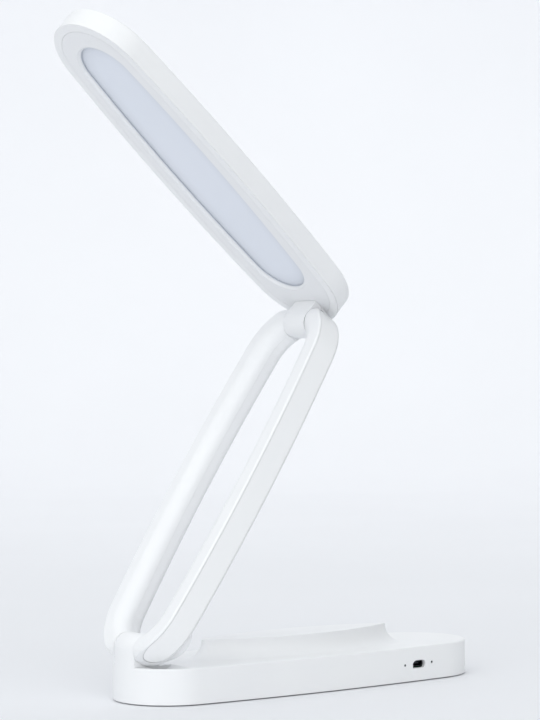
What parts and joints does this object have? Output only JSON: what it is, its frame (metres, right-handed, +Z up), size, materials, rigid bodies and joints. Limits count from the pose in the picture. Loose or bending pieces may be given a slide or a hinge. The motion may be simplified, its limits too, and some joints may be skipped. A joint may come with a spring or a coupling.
{
  "type": "folding desk lamp",
  "caption": "Folding LED desk lamp: flat oval head and base of one outline, joined by a two-legged arm with a friction hinge at each end; charging socket in the base.",
  "frame": {"origin": "centre of the base's underside, on the surface that the lamp stands on", "axes": "+Z up; +X along the base, from the hinge end to the free end; -Y is the side with the charging socket; both hinge axes lie along Y in the plane of symmetry's normal"},
  "size_m": [0.2271, 0.0624, 0.3221],
  "materials": {
    "base_white": "satin moulded ABS",
    "arm_white": "satin moulded ABS",
    "strip_white": "satin moulded ABS, smooth inlay",
    "head_white": "satin moulded ABS",
    "bezel_white": "satin moulded ABS",
    "diffuser_milky": "milky translucent PMMA, matt face",
    "reflector_white": "white reflective plastic",
    "cover_white": "fine textured ABS",
    "pad_rubber": "soft grey silicone",
    "steel": "plain steel",
    "ballast_steel": "blackened steel plate",
    "battery_foil": "laminated foil",
    "board_green": "solder mask",
    "board_white": "white solder mask on aluminium",
    "led_yellow": "phosphor LED packages",
    "socket_metal": "tinned shell",
    "light_pipe": "smoked clear plastic",
    "touch_copper": "copper foil",
    "bush_pom": "acetal",
    "wire_red": "silicone insulation"
  },
  "bodies": {
    "base": {"base_top_shell": "base_white", "base_bottom_cover": "cover_white", "rubber_base_pad": "pad_rubber", "base_screws": "steel", "ballast_plate": "ballast_steel", "battery": "battery_foil", "main_pcb": "board_green", "pcb_standoffs": "bush_pom", "micro_usb_socket": "socket_metal", "charge_indicator_light_pipes": "light_pipe", "touch_sensor_pad": "touch_copper", "lower_hinge_bush": "bush_pom", "lower_friction_washers": "steel"},
    "arm": {"near_leg_upper_shell": "arm_white", "near_leg_lower_shell": "arm_white", "far_leg_upper_shell": "arm_white", "far_leg_lower_shell": "arm_white", "near_leg_side_strip": "strip_white", "far_leg_side_strip": "strip_white", "arm_wire": "wire_red", "lower_hinge_pin": "steel", "lower_hinge_nut": "steel", "upper_hinge_pin": "steel", "upper_hinge_nut": "steel"},
    "head": {"head_top_cover": "head_white", "head_bezel": "bezel_white", "diffuser": "diffuser_milky", "reflector_frame": "reflector_white", "led_board": "board_white", "leds": "led_yellow", "led_board_screws": "steel", "upper_hinge_bush": "bush_pom", "upper_friction_washers": "steel"}
  },
  "joints": [
    {"name": "base_arm_fold", "type": "hinge", "parent": "base", "child": "arm", "pos_m": [-0.092, 0, 0.0253], "axis": [0, 1, 0], "range_deg": [-33.4, 55.3]},
    {"name": "arm_head_fold", "type": "hinge", "parent": "arm", "child": "head", "pos_m": [0.0083, 0, 0.17741], "axis": [0, -1, 0], "range_deg": [-10.55, 99.45]}
  ]
}
